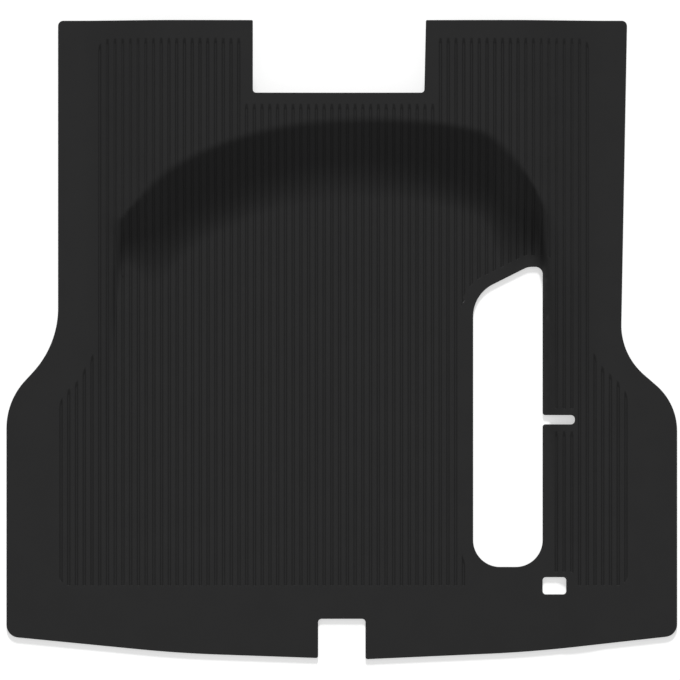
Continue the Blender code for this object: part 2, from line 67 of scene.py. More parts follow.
def fillet(before: np.ndarray, corner: np.ndarray, after: np.ndarray, radius: float) -> np.ndarray:
    """Round one corner of an outline by an arc that touches both of its sides.

    The arc's centre lies on the corner's bisector, at the radius over the cosine of half the turn.

    Args:
        before: The corner before, as x and y.
        corner: The corner to round.
        after: The corner after.
        radius: The radius wanted, which is less where a side is too short for it.

    Returns:
        The arc's points in order, or the corner alone where the radius is too small to show.
    """
    largest_share = 0.49
    finest_radius = 0.0004
    chord_error = 0.00004
    widest_step = math.radians(12.0)
    to_before = before - corner
    to_after = after - corner
    length_before = float(np.hypot(*to_before))
    length_after = float(np.hypot(*to_after))
    unit_before = to_before / length_before
    unit_after = to_after / length_after
    turn = math.pi - math.acos(float(np.clip(unit_before @ unit_after, -1.0, 1.0)))
    tangent = min(radius * math.tan(turn / 2), largest_share * min(length_before, length_after))
    radius = tangent / math.tan(turn / 2)
    if radius < finest_radius:
        return corner[None, :]
    middle = (unit_before + unit_after) / np.hypot(*(unit_before + unit_after))
    centre = corner + middle * radius / math.cos(turn / 2)
    spoke = corner + unit_before * tangent - centre
    last = corner + unit_after * tangent - centre
    side = math.copysign(1.0, spoke[0] * last[1] - spoke[1] * last[0])
    step = min(2 * math.acos(1 - chord_error / max(radius, chord_error)), widest_step)
    angles = side * np.linspace(0.0, turn, max(2, math.ceil(turn / step)) + 1)
    turned_x = np.cos(angles) * spoke[0] - np.sin(angles) * spoke[1]
    turned_y = np.sin(angles) * spoke[0] + np.cos(angles) * spoke[1]
    return centre + np.stack([turned_x, turned_y], axis=1)


def rounded_loop(corners: list[tuple[float, float, float]]) -> np.ndarray:
    """Round every corner of an outline.

    Args:
        corners: Each corner's x, y and radius, in order.

    Returns:
        The points of the closed outline, one row each.
    """
    places = np.array(corners)[:, :2]
    radii = [corner[2] for corner in corners]
    before = np.roll(places, 1, axis=0)
    after = np.roll(places, -1, axis=0)
    arcs = [fillet(*sides, radius) for *sides, radius in zip(before, places, after, radii)]
    return np.concatenate(arcs)


def subdivided(points: np.ndarray, spacing: float) -> np.ndarray:
    """Divide each side of a closed outline into equal parts.

    Args:
        points: Points of the outline.
        spacing: Greatest length of a part.

    Returns:
        The points of the outline, with those between them.
    """
    sides = np.roll(points, -1, axis=0) - points
    counts = np.maximum(1, np.ceil(np.hypot(*sides.T) / spacing)).astype(int)
    first = np.repeat(np.cumsum(counts) - counts, counts)
    shares = (np.arange(counts.sum()) - first) / np.repeat(counts, counts)
    return np.repeat(points, counts, axis=0) + np.repeat(sides, counts, axis=0) * shares[:, None]


def outward_normals(points: np.ndarray) -> np.ndarray:
    """Work out the directions that lead out of the rubber along a closed outline.

    Each is square to the mean of the unit vectors along the two sides that meet at the point.

    Args:
        points: Points of the outline, which has the rubber on its left.

    Returns:
        A level unit vector for each point.
    """
    sides = np.roll(points, -1, axis=0) - points
    units = sides / np.hypot(*sides.T)[:, None]
    along = units + np.roll(units, 1, axis=0)
    along /= np.hypot(*along.T)[:, None]
    return np.stack([along[:, 1], -along[:, 0]], axis=1)


def crossings(loop: np.ndarray, x: float) -> np.ndarray:
    """Find where a closed outline crosses a line along y.

    Args:
        loop: Points of the outline.
        x: Place of the line across the car.

    Returns:
        Y of each crossing, sorted.
    """
    after = np.roll(loop, -1, axis=0)
    crossed = (loop[:, 0] <= x) != (after[:, 0] <= x)
    start = loop[crossed]
    end = after[crossed]
    share = (x - start[:, 0]) / (end[:, 0] - start[:, 0])
    return np.sort(start[:, 1] + share * (end[:, 1] - start[:, 1]))


def inside(points: np.ndarray, loop: np.ndarray) -> np.ndarray:
    """Find the points inside a closed outline: a ray from each crosses an odd number of sides.

    Args:
        points: Points to try.
        loop: Points of the outline.

    Returns:
        Whether each point is inside.
    """
    block = 4000
    after = np.roll(loop, -1, axis=0)
    rise = np.where(after[:, 1] == loop[:, 1], 1.0, after[:, 1] - loop[:, 1])
    found = []
    for part in np.array_split(points, max(1, len(points) // block)):
        x = part[:, 0, None]
        y = part[:, 1, None]
        level = (loop[:, 1] > y) != (after[:, 1] > y)
        crossing_x = loop[:, 0] + (y - loop[:, 1]) * (after[:, 0] - loop[:, 0]) / rise
        found.append((level & (x < crossing_x)).sum(axis=1) % 2 == 1)
    return np.concatenate(found)


def nearest_distance(points: np.ndarray, others: np.ndarray) -> np.ndarray:
    """Measure how near each point is to some others.

    Args:
        points: Points to measure from.
        others: Points to measure to.

    Returns:
        The distance from each point to the nearest of the others.
    """
    block = 4000
    found = []
    for part in np.array_split(points, max(1, len(points) // block)):
        apart = np.hypot(part[:, 0, None] - others[:, 0], part[:, 1, None] - others[:, 1])
        found.append(apart.min(axis=1))
    return np.concatenate(found)


@dataclass(frozen=True)
class Plan:
    """Outline of the sheet and its cut-outs, seen from above."""

    width: float = 1.274
    length: float = 1.213
    left_arch_inset: float = 0.098
    right_arch_inset: float = 0.095
    right_side_taper: float = 0.012
    front_corner_radius: float = 0.010
    left_shoulder_start: float = 0.616
    left_shoulder_end: float = 0.722
    left_shoulder_inner_radius: float = 0.209
    left_shoulder_outer_radius: float = 0.132
    right_shoulder_start: float = 0.634
    right_shoulder_end: float = 0.727
    right_shoulder_inner_radius: float = 0.125
    right_shoulder_outer_radius: float = 0.114
    rear_corner_radius: float = 0.024
    left_corner_rise: float = 0.0435
    left_bend_x: float = 0.309
    left_bend_rise: float = 0.0115
    latch_left_rise: float = 0.0023
    right_corner_rise: float = 0.045
    right_bend_x: float = 0.359
    right_bend_rise: float = 0.014
    rear_bend_radius: float = 2.4
    notch_width: float = 0.328
    notch_depth: float = 0.1375
    notch_offset: float = -0.0046
    notch_taper: float = 0.003
    notch_fillet: float = 0.006
    notch_mouth_radius: float = 0.0025
    latch_width: float = 0.090
    latch_depth: float = 0.0768
    latch_fillet: float = 0.0065
    latch_mouth_radius: float = 0.004
    slot_width: float = 0.132
    slot_length: float = 0.570
    slot_from_front: float = 0.4676
    slot_x: float = 0.3155
    slant_length: float = 0.052
    slant_width: float = 0.104
    slant_radius: float = 0.068
    slot_tip_radius: float = 0.030
    slot_front_radius: float = 0.023
    slot_rear_radius: float = 0.051
    side_slot_width: float = 0.0175
    side_slot_reach: float = 0.061
    side_slot_back: float = 0.2903
    side_slot_end_radius: float = 0.0075
    side_slot_mouth_radius: float = 0.005
    hole_width: float = 0.0448
    hole_length: float = 0.0327
    hole_gap: float = 0.0194
    hole_radius: float = 0.006

    @property
    def left(self) -> float:
        """X of the sheet's left side."""
        return -self.width / 2

    @property
    def right(self) -> float:
        """X of the sheet's right side."""
        return self.width / 2

    @property
    def front(self) -> float:
        """Y of the front edge."""
        return self.length / 2

    @property
    def rear(self) -> float:
        """Y of the rearmost point."""
        return -self.length / 2

    @property
    def front_left(self) -> float:
        """X of the left side edge between the wheel arches."""
        return self.left + self.left_arch_inset

    @property
    def front_right(self) -> float:
        """X of the right side edge at the front."""
        return self.right - self.right_arch_inset

    @property
    def notch_left(self) -> float:
        """X of the front notch's left side."""
        return self.notch_offset - self.notch_width / 2

    @property
    def notch_right(self) -> float:
        """X of the front notch's right side at its mouth."""
        return self.notch_offset + self.notch_width / 2

    @property
    def notch_rear(self) -> float:
        """Y of the front notch's rear side."""
        return self.front - self.notch_depth

    @property
    def slot_front(self) -> float:
        """Y of the wheel slot's front end."""
        return self.front - self.slot_from_front

    @property
    def slot_rear(self) -> float:
        """Y of the wheel slot's rear end."""
        return self.slot_front - self.slot_length

    @property
    def slot_left(self) -> float:
        """X of the wheel slot's left side."""
        return self.slot_x - self.slot_width / 2

    @property
    def slot_right(self) -> float:
        """X of the wheel slot's right side."""
        return self.slot_x + self.slot_width / 2

    def outline(self) -> np.ndarray:
        """Lay out the sheet's outline.

        Returns:
            Its points, anticlockwise, so that the rubber is on its left.
        """
        half_latch = self.latch_width / 2
        latch_front = self.rear + self.latch_depth
        right_shoulder = self.front_right - self.right_side_taper
        corners = [
            (self.front_left, self.front, self.front_corner_radius),
            (self.notch_left, self.front, self.notch_mouth_radius),
            (self.notch_left, self.notch_rear, self.notch_fillet),
            (self.notch_right - self.notch_taper, self.notch_rear, self.notch_fillet),
            (self.notch_right, self.front, self.notch_mouth_radius),
            (self.front_right, self.front, self.front_corner_radius),
            (right_shoulder, self.front - self.right_shoulder_start, self.right_shoulder_inner_radius),
            (self.right, self.front - self.right_shoulder_end, self.right_shoulder_outer_radius),
            (self.right, self.rear + self.right_corner_rise, self.rear_corner_radius),
            (self.right_bend_x, self.rear + self.right_bend_rise, self.rear_bend_radius),
            (half_latch, self.rear, self.latch_mouth_radius),
            (half_latch, latch_front, self.latch_fillet),
            (-half_latch, latch_front, self.latch_fillet),
            (-half_latch, self.rear + self.latch_left_rise, self.latch_mouth_radius),
            (-self.left_bend_x, self.rear + self.left_bend_rise, self.rear_bend_radius),
            (self.left, self.rear + self.left_corner_rise, self.rear_corner_radius),
            (self.left, self.front - self.left_shoulder_end, self.left_shoulder_outer_radius),
            (self.front_left, self.front - self.left_shoulder_start, self.left_shoulder_inner_radius),
        ]
        return rounded_loop(corners[::-1])

    def wheel_slot(
        self, side: float = 0.0, front: float = 0.0, rear: float = 0.0, short_side: float = 0.0,
        short_end: float = 0.0,
    ) -> np.ndarray:
        """Points of the wheel slot with its short side slot, clockwise.

        Args:
            side: Margin added beside the slot.
            front: Margin added before it.
            rear: Margin added behind it.
            short_side: Margin added before and behind the short slot.
            short_end: Margin added past the short slot's end.

        Returns:
            The points of the slot, or of the plain margin around it.
        """
        front_y = self.slot_front + front
        slope = self.slant_length / self.slant_width
        slant_rise = side * math.hypot(1.0, slope)
        slant_start = self.slot_front - self.slant_length
        slant_left_y = slant_start - slope * side + slant_rise
        slant_front_x = self.slot_left + (front_y - slant_start - slant_rise) / slope
        middle = self.slot_front - self.side_slot_back
        half = self.side_slot_width / 2 + short_side
        short_right = self.slot_right + self.side_slot_reach + short_end
        left = self.slot_left - side
        right = self.slot_right + side
        rear_y = self.slot_rear - rear
        corners = [
            (left, slant_left_y, self.slant_radius),
            (slant_front_x, front_y, self.slot_tip_radius),
            (right, front_y, self.slot_front_radius),
            (right, middle + half, self.side_slot_mouth_radius),
            (short_right, middle + half, self.side_slot_end_radius),
            (short_right, middle - half, self.side_slot_end_radius),
            (right, middle - half, self.side_slot_mouth_radius),
            (right, rear_y, self.slot_rear_radius),
            (left, rear_y, self.slot_rear_radius),
        ]
        return rounded_loop(corners)

    def small_hole(self, side: float = 0.0, front: float = 0.0) -> np.ndarray:
        """Lay out the small hole, or the plain margin around it.

        Args:
            side: Margin added beside the hole.
            front: Margin added before and behind it.

        Returns:
            The points, clockwise.
        """
        left = self.slot_right - side
        right = self.slot_right + self.hole_width + side
        front_y = self.slot_rear - self.hole_gap + front
        rear_y = self.slot_rear - self.hole_gap - self.hole_length - front
        corners = [(left, front_y), (right, front_y), (right, rear_y), (left, rear_y)]
        return rounded_loop([(x, y, self.hole_radius) for x, y in corners])


@dataclass(frozen=True)
class RibbedField:
    """Part of the sheet that carries the grooves, with the plain margins around it."""

    plan: Plan
    pitch: float = 0.0147
    centre_x: float = 0.0032
    half_width: float = 0.0032
    front_margin: float = 0.033
    rear_margin: float = 0.1397
    left_front_margin: float = 0.0758
    right_front_margin: float = 0.0695
    left_rear_margin: float = 0.0985
    right_rear_margin: float = 0.0925
    corner_radius: float = 0.023
    notch_side_margin: float = 0.022
    notch_rear_margin: float = 0.0203
    left_start: float = 0.616
    left_bend_out: float = 0.0395
    left_bend_back: float = 0.068
    left_end: float = 0.718
    right_start: float = 0.618
    right_bend_out: float = 0.018
    right_bend_back: float = 0.034
    right_end: float = 0.703
    bend_radius: float = 0.060
    slot_side_margin: float = 0.0218
    slot_front_margin: float = 0.0218
    slot_rear_margin: float = 0.0155
    side_slot_margin: float = 0.012
    side_slot_end_margin: float = 0.004
    hole_front_margin: float = 0.010
    hole_side_margin: float = 0.014

    @property
    def left(self) -> float:
        """X of the field's left limit behind the wheel arch."""
        return self.plan.left + self.left_rear_margin

    @property
    def right(self) -> float:
        """X of the field's right limit behind the wheel arch."""
        return self.plan.right - self.right_rear_margin

    def outline(self) -> np.ndarray:
        """Lay out the field, which follows the sheet's outline at its margins.

        Returns:
            The points of its outline.
        """
        plan = self.plan
        front_left = plan.front_left + self.left_front_margin
        front_right = plan.front_right - self.right_front_margin
        front_y = plan.front - self.front_margin
        rear_y = plan.rear + self.rear_margin
        notch_left = plan.notch_left - self.notch_side_margin
        notch_right = plan.notch_right + self.notch_side_margin
        notch_y = plan.notch_rear - self.notch_rear_margin
        left_start_y = plan.front - self.left_start
        right_start_y = plan.front - self.right_start
        corners = [
            (front_left, front_y, self.corner_radius),
            (notch_left, front_y, 0.0),
            (notch_left, notch_y, 0.0),
            (notch_right, notch_y, 0.0),
            (notch_right, front_y, 0.0),
            (front_right, front_y, self.corner_radius),
            (front_right, right_start_y, self.bend_radius),
            (front_right + self.right_bend_out, right_start_y - self.right_bend_back, self.bend_radius),
            (self.right, plan.front - self.right_end, self.bend_radius),
            (self.right, rear_y, self.corner_radius),
            (self.left, rear_y, self.corner_radius),
            (self.left, plan.front - self.left_end, self.bend_radius),
            (front_left - self.left_bend_out, left_start_y - self.left_bend_back, self.bend_radius),
            (front_left, left_start_y, self.bend_radius),
        ]
        return rounded_loop(corners)

    def slot_margin(self) -> np.ndarray:
        """Points around the plain margin of the wheel slot."""
        return self.plan.wheel_slot(
            self.slot_side_margin, self.slot_front_margin, self.slot_rear_margin,
            self.side_slot_margin, self.side_slot_end_margin,
        )

    def hole_margin(self) -> np.ndarray:
        """Points around the plain margin of the small hole."""
        return self.plan.small_hole(self.hole_side_margin, self.hole_front_margin)

    def centres(self) -> np.ndarray:
        """Space the grooves evenly over the field.

        Returns:
            X of the middle of every groove whose whole width is in the field.
        """
        first = math.ceil((self.left + self.half_width - self.centre_x) / self.pitch - 0.5)
        last = math.floor((self.right - self.half_width - self.centre_x) / self.pitch - 0.5)
        return self.centre_x + (np.arange(first, last + 1) + 0.5) * self.pitch

    def contains(self, points: np.ndarray) -> np.ndarray:
        """Whether each point is in the field and outside the margins of the slot and the hole."""
        in_margins = inside(points, self.slot_margin()) | inside(points, self.hole_margin())
        return inside(points, self.outline()) & ~in_margins

    def spans(self, x: float) -> np.ndarray:
        """Start and end of each stretch of the field along the line at x.

        The places where the line crosses the field's outline and its margins are sorted, and a stretch
        between two of them counts where its middle is in the field. Stretches that meet are joined.

        Args:
            x: Place of the line across the car.

        Returns:
            One row for each stretch, with the y of its rear end and of its front end.
        """
        loops = [self.outline(), self.slot_margin(), self.hole_margin()]
        ends = np.sort(np.concatenate([crossings(loop, x) for loop in loops]))
        middles = (ends[1:] + ends[:-1]) / 2
        kept = self.contains(np.stack([np.full_like(middles, x), middles], axis=1))
        padded = np.concatenate([[False], kept, [False]])
        starts = np.flatnonzero(padded[1:] & ~padded[:-1])
        stops = np.flatnonzero(~padded[1:] & padded[:-1])
        return np.stack([ends[starts], ends[stops]], axis=1)


@dataclass(frozen=True)
class EndArc:
    """Tight arc at one end of the crest, which goes on straight past its steepest place."""

    side: float
    radius: float
    centre_x: float
    centre_back: float
    steepest: float
    blend: float

    def line(self, x: np.ndarray) -> tuple[np.ndarray, np.ndarray]:
        """Work out the arc and its straight end.

        Args:
            x: Places across the car.

        Returns:
            Y of the line, counted from the front edge, and its fall to the right, at each place.
        """
        outward = self.side * (x - self.centre_x)
        end = self.radius * math.sin(self.steepest)
        arc_x = np.clip(outward, 0.0, end)
        rise = np.sqrt(self.radius**2 - arc_x**2)
        straight_fall = np.maximum(outward - end, 0.0) * math.tan(self.steepest)
        return rise - self.centre_back - straight_fall, self.side * arc_x / rise


@dataclass(frozen=True)
class BootFloor:
    """Height of the boot floor that the liner is moulded to: a front shelf, a step along an arc, a flat."""

    plan: Plan
    shelf_height: float = 0.056
    dip_share: float = 0.28
    dip_half_width: float = 0.320
    crest_back: float = 0.1855
    crest_radius: float = 0.824
    crest_centre_x: float = 0.053
    right_crest: EndArc = EndArc(
        side=1.0, radius=0.3175, centre_x=0.088, centre_back=0.472, steepest=math.radians(73.5), blend=0.008
    )
    left_crest: EndArc = EndArc(
        side=-1.0, radius=0.4215, centre_x=-0.054, centre_back=0.6005, steepest=math.radians(47.7),
        blend=0.026,
    )
    step_length: float = 0.153
    foot_length: float = 0.081
    crest_rounding: float = 0.0075
    slant_power: float = 1.2
    left_tip_x: float = -0.416
    left_tip_narrowing: float = 0.086
    left_tip_share: float = 0.42
    right_tip_x: float = 0.374
    right_tip_narrowing: float = 0.066
    right_tip_share: float = 0.35
    fan_width: float = 0.056
    fan_forward: float = 0.060
    fan_length: float = 0.650
    side_border_flat: float = 0.035
    side_fall: float = 0.185
    largest_arc_share: float = 0.95
    bend_before: float = 0.12
    bend_behind: float = 0.06

    def crest(self, x: np.ndarray) -> tuple[np.ndarray, np.ndarray]:
        """Work out the crest from a wide arc that blends into a tighter one at each side.

        Where two arcs are within the blend's reach of each other, share is how far the wide one is
        behind the tight one, from 0 to 1. The blend dips by share times one minus share.

        Args:
            x: Places across the car.

        Returns:
            Y of the crest and its fall to the right, at each place.
        """
        wide_end = self.largest_arc_share * self.crest_radius
        wide_x = np.clip(x - self.crest_centre_x, -wide_end, wide_end)
        wide_rise = np.sqrt(self.crest_radius**2 - wide_x**2)
        y = self.plan.front - self.crest_back - self.crest_radius + wide_rise
        fall = wide_x / wide_rise
        for arc in (self.right_crest, self.left_crest):
            tight_y, tight_fall = arc.line(x)
            tight_y = tight_y + self.plan.front
            share = np.clip(0.5 + 0.5 * (tight_y - y) / arc.blend, 0.0, 1.0)
            y = share * y + (1 - share) * tight_y - arc.blend * share * (1 - share)
            fall = share * fall + (1 - share) * tight_fall
        return y, fall

    def step(self, x: np.ndarray) -> tuple[np.ndarray, np.ndarray]:
        """Place the step behind the crest.

        Its length along y is its own length, times a power of one over the cosine of the crest's slant,
        times what is left of it near its ends. Past its ends it fans out and dies away.

        Args:
            x: Places across the car.

        Returns:
            Y where the step starts, and its length along y, at each place.
        """
        y, fall = self.crest(x)
        left = smooth_step((x - self.left_tip_x) / self.left_tip_narrowing)
        right = smooth_step((self.right_tip_x - x) / self.right_tip_narrowing)
        left = self.left_tip_share + (1 - self.left_tip_share) * left
        right = self.right_tip_share + (1 - self.right_tip_share) * right
        length = self.step_length * np.hypot(1.0, fall) ** self.slant_power * np.minimum(left, right)
        past_tip = np.maximum(self.left_tip_x - x, x - self.right_tip_x)
        fan = smooth_step(past_tip / self.fan_width)
        return y + fan * self.fan_forward, length + fan * self.fan_length

    def share(self, x: np.ndarray, y: np.ndarray) -> np.ndarray:
        """Distance behind the crest as a share of the step's length."""
        start, length = self.step(x)
        return (start - y) / length

    def profile(self, share: np.ndarray) -> np.ndarray:
        """Height left down the step, from 1 on the shelf to 0 on the floor.

        The slope grows evenly over the rounded crest, stays the same down the wall and shrinks evenly
        over the foot, so the height there goes with the square of what is left of the foot.

        Args:
            share: Distance behind the crest as a share of the step's length.

        Returns:
            The share of the height that is left at each place.
        """
        rounding = self.crest_rounding / self.step_length
        foot = self.foot_length / self.step_length
        steepest = 1 / (1 - foot / 2)
        crest = 1 - steepest * np.clip(share + rounding, 0.0, None) ** 2 / (4 * rounding)
        wall = 1 - steepest * share
        toe = steepest * np.clip(1 - share, 0.0, None) ** 2 / (2 * foot)
        return np.where(share < rounding, crest, np.where(share < 1 - foot, wall, toe))

    def shelf(self, x: np.ndarray) -> np.ndarray:
        """Shape the shelf, which dips between its two sides and falls towards each side edge.

        Args:
            x: Places across the car.

        Returns:
            The shelf's height at each place.
        """
        dip = self.dip_share * (1 - smooth_step(np.abs(x) / self.dip_half_width))
        left = (x - self.plan.front_left - self.side_border_flat) / self.side_fall
        right = (self.plan.front_right - self.side_border_flat - x) / self.side_fall
        return self.shelf_height * (1 - dip) * smooth_step(np.minimum(left, right))

    def height(self, x: np.ndarray, y: np.ndarray) -> np.ndarray:
        """Height of the floor: the shelf's, times what is left of it down the step."""
        return self.shelf(x) * self.profile(self.share(x, y))

    def sheared(self, points: np.ndarray, normals: np.ndarray) -> np.ndarray:
        """Carry the normals of the flat sheet over to the formed one.

        Lifting each point by the floor's height takes the floor's slope, times the normal's own height,
        off the normal's level part.

        Args:
            points: Places in the plan.
            normals: Normals of the flat sheet there.

        Returns:
            Unit normals of the formed sheet.
        """
        nudge = 0.0002
        x = points[..., 0]
        y = points[..., 1]
        slope_x = (self.height(x + nudge, y) - self.height(x - nudge, y)) / (2 * nudge)
        slope_y = (self.height(x, y + nudge) - self.height(x, y - nudge)) / (2 * nudge)
        up = normals[..., 2]
        formed = np.stack([normals[..., 0] - up * slope_x, normals[..., 1] - up * slope_y, up], axis=-1)
        return formed / np.linalg.norm(formed, axis=-1, keepdims=True)

    def bends(self, x: np.ndarray, y: np.ndarray) -> np.ndarray:
        """Whether each place is on the step or just beside it, where the floor bends along y."""
        share = self.share(x, y)
        return (share > -self.bend_before) & (share < 1 + self.bend_behind)


@dataclass
class BootLiner:
    """The moulded sheet: a grooved top, a plain underside and rounded edges."""

    plan: Plan = field(default_factory=Plan)
    thickness: float = 0.005
    groove_depth: float = 0.0024
    groove_floor: float = 0.0005
    groove_reach: float = 0.0039
    groove_rear_rise: float = 0.0004
    groove_front_rise: float = 0.012
    groove_end_rounding: float = 0.15
    shortest_groove: float = 0.036
    top_edge_radius: float = 0.0010
    lower_edge_radius: float = 0.0004
    edge_spacing: float = 0.008
    row_spacing: float = 0.006
    border_spacing: float = 0.009
    underside_spacing: float = 0.014

    def __post_init__(self) -> None:
        """Lay out the field and the floor from the plan, and the three edges of the sheet."""
        self.ribs = RibbedField(self.plan)
        self.floor = BootFloor(self.plan)
        loops = [self.plan.outline(), self.plan.wheel_slot(), self.plan.small_hole()]
        loops = [subdivided(loop, self.edge_spacing) for loop in loops]
        self.rim = np.concatenate(loops)
        self.rim_normals = np.concatenate([outward_normals(loop) for loop in loops])
        counts = [len(loop) for loop in loops]
        self.loop_firsts = np.concatenate([[0], np.cumsum(counts)[:-1]])
        self.rim_next = np.concatenate(
            [first + np.roll(np.arange(count), -1) for first, count in zip(self.loop_firsts, counts)]
        )

    def in_rubber(self, points: np.ndarray, rim: np.ndarray) -> np.ndarray:
        """Whether each point is inside a rim, which runs along the outline and then each cut-out."""
        outline, slot, hole = np.split(rim, self.loop_firsts[1:])
        return inside(points, outline) & ~inside(points, slot) & ~inside(points, hole)

    def edge_profile(self) -> tuple[np.ndarray, np.ndarray]:
        """Profile of the edge, from the top face round to the lower face.

        The two quarter circles follow one minus sine and one minus cosine of an angle that turns from 0
        to 90 degrees, and the normal leans out by the sine of that angle.

        Returns:
            For each point, its inset from the sheet's outline and its height above the lower face, and
            the outward and the upward part of its normal.
        """
        top_points = 5
        lower_points = 3
        top_turn = np.linspace(0.0, math.pi / 2, top_points)
        top_inset = self.top_edge_radius * (1 - np.sin(top_turn))
        top_height = self.thickness - self.top_edge_radius * (1 - np.cos(top_turn))
        lower_turn = np.linspace(0.0, math.pi / 2, lower_points)
        lower_inset = self.lower_edge_radius * (1 - np.cos(lower_turn))
        lower_height = self.lower_edge_radius * (1 - np.sin(lower_turn))
        places = [np.append(top_inset, lower_inset), np.append(top_height, lower_height)]
        outward = np.append(np.sin(top_turn), np.cos(lower_turn))
        upward = np.append(np.cos(top_turn), -np.sin(lower_turn))
        return np.stack(places, axis=1), np.stack([outward, upward], axis=1)

    def edge_band(self) -> tuple[np.ndarray, np.ndarray]:
        """Carry the edge's profile along the sheet's outline and along each cut-out.

        Returns:
            The points and the normals, one row for each point of the profile.
        """
        profile, leans = self.edge_profile()
        plan = self.rim[None] - self.rim_normals[None] * profile[:, 0, None, None]
        height = self.floor.height(plan[..., 0], plan[..., 1]) + profile[:, 1, None]
        level = self.rim_normals[None] * leans[:, 0, None, None]
        upward = np.broadcast_to(leans[:, 1, None, None], (*height.shape, 1))
        normals = self.floor.sheared(plan, np.concatenate([level, upward], axis=2))
        return np.concatenate([plan, height[..., None]], axis=2), normals

    def edge_faces(self, rows: int) -> np.ndarray:
        """Join the rows of the edge by two triangles for each step along it.

        Args:
            rows: Number of rows, which is the number of points of the edge's profile.

        Returns:
            The triangles.
        """
        count = len(self.rim)
        here = np.arange(count)
        upper = np.arange(rows - 1)[:, None] * count
        a = (upper + here).ravel()
        b = (upper + self.rim_next).ravel()
        return np.concatenate([np.stack([a, a + count, b + count], 1), np.stack([a, b + count, b], 1)])

    def depth(self, aside: np.ndarray, from_rear: np.ndarray, from_front: np.ndarray) -> np.ndarray:
        """Depth of a groove: its section's share, times the share that its end has reached.

        The section is whole on the floor and eases to none at the lip. Each end rises evenly, with its
        two bends rounded by parabolas.

        Args:
            aside: Distance from the groove's middle.
            from_rear: Distance from the groove's rear end.
            from_front: Distance from the groove's front end.

        Returns:
            The depth at each place.
        """
        wall = self.groove_reach - self.groove_floor
        section = 1 - smooth_step((np.abs(aside) - self.groove_floor) / wall)
        share = np.minimum(from_rear / self.groove_rear_rise, from_front / self.groove_front_rise)
        share = np.clip(share, 0.0, 1.0)
        rounding = self.groove_end_rounding
        steepest = 1 / (1 - rounding)
        start = steepest * share**2 / (2 * rounding)
        middle = steepest * (share - rounding / 2)
        finish = 1 - steepest * (1 - share) ** 2 / (2 * rounding)
        end = np.where(share < rounding, start, np.where(share < 1 - rounding, middle, finish))
        return self.groove_depth * section * end

    def groove_lines(self) -> tuple[np.ndarray, np.ndarray, np.ndarray]:
        """Lay lines along every groove, where its floor, walls and lips are.

        Returns:
            For each line its x, its distance aside from the groove's middle, and its two ends in y.
        """
        wall_steps = 5
        inner_share = 0.97
        one_side = np.linspace(self.groove_floor, self.groove_reach, wall_steps + 1)
        asides = np.concatenate([-one_side[::-1], one_side])
        limit = inner_share * self.ribs.half_width
        places, offsets, ends = [], [], []
        for centre in self.ribs.centres():
            for aside in asides:
                spans = self.ribs.spans(centre + float(np.clip(aside, -limit, limit)))
                spans = spans[spans[:, 1] - spans[:, 0] > self.shortest_groove]
                places.extend([centre + aside] * len(spans))
                offsets.extend([aside] * len(spans))
                ends.append(spans)
        return np.array(places), np.array(offsets), np.concatenate(ends)

    def groove_points(self) -> tuple[np.ndarray, np.ndarray, np.ndarray, np.ndarray]:
        """Set points along the lines of every groove.

        Rows lie close on the rise at each end and evenly where the floor bends. The normal leans by the
        depth's slope, worked out from the depths a little to each side.

        Returns:
            The points of the plan, the depth and the flat sheet's normal at each, and the pairs that are
            joined along a line.
        """
        straight_points = 3
        nudge = 0.000001
        places, offsets, ends = self.groove_lines()
        rounding = self.groove_end_rounding
        straight = np.linspace(rounding, 1 - rounding, straight_points)
        shares = np.concatenate([[0.0, rounding / 2], straight, [1.0]])
        on_rear_rise = ends[:, :1] + shares * self.groove_rear_rise
        on_front_rise = ends[:, 1:] - shares * self.groove_front_rise
        rows = np.arange(ends.min(), ends.max(), self.row_spacing)
        rows = np.broadcast_to(rows, (len(ends), len(rows)))
        grid = np.concatenate([on_rear_rise, on_front_rise, rows], axis=1)
        x = np.broadcast_to(places[:, None], grid.shape)
        aside = np.broadcast_to(offsets[:, None], grid.shape)
        on_rise = np.arange(grid.shape[1]) < 2 * len(shares)
        first_clear = ends[:, :1] + self.groove_rear_rise + self.row_spacing / 2
        last_clear = ends[:, 1:] - self.groove_front_rise - self.row_spacing / 2
        between = (grid > first_clear) & (grid < last_clear)
        kept = on_rise | (between & self.floor.bends(x, grid))
        grid = np.sort(np.where(kept, grid, np.inf), axis=1)
        kept = np.isfinite(grid)
        index = np.cumsum(kept.ravel()).reshape(kept.shape) - 1
        joined = kept[:, 1:]
        pairs = np.stack([index[:, :-1][joined], index[:, 1:][joined]], axis=1)
        from_rear = (grid - ends[:, :1])[kept]
        from_front = (ends[:, 1:] - grid)[kept]
        aside = aside[kept]
        left_depth = self.depth(aside - nudge, from_rear, from_front)
        right_depth = self.depth(aside + nudge, from_rear, from_front)
        rear_depth = self.depth(aside, from_rear - nudge, from_front + nudge)
        front_depth = self.depth(aside, from_rear + nudge, from_front - nudge)
        across = (right_depth - left_depth) / (2 * nudge)
        along = (front_depth - rear_depth) / (2 * nudge)
        leans = np.stack([across, along, np.ones(len(aside))], axis=1)
        points = np.stack([x[kept], grid[kept]], axis=1)
        return points, self.depth(aside, from_rear, from_front), leans, pairs

    def lattice(self, spacing: float) -> np.ndarray:
        """Spread points over the rubber, clear of its edges.

        Args:
            spacing: Distance between the points.

        Returns:
            The points, in rows that are offset by turns.
        """
        x = np.arange(self.plan.left, self.plan.right, spacing)
        y = np.arange(self.plan.rear, self.plan.front, spacing)
        grid = np.stack(np.meshgrid(x, y), axis=2)
        grid[1::2, :, 0] += spacing / 2
        points = grid.reshape(-1, 2)
        points = points[nearest_distance(points, self.rim) > self.edge_spacing]
        return points[self.in_rubber(points, self.rim)]

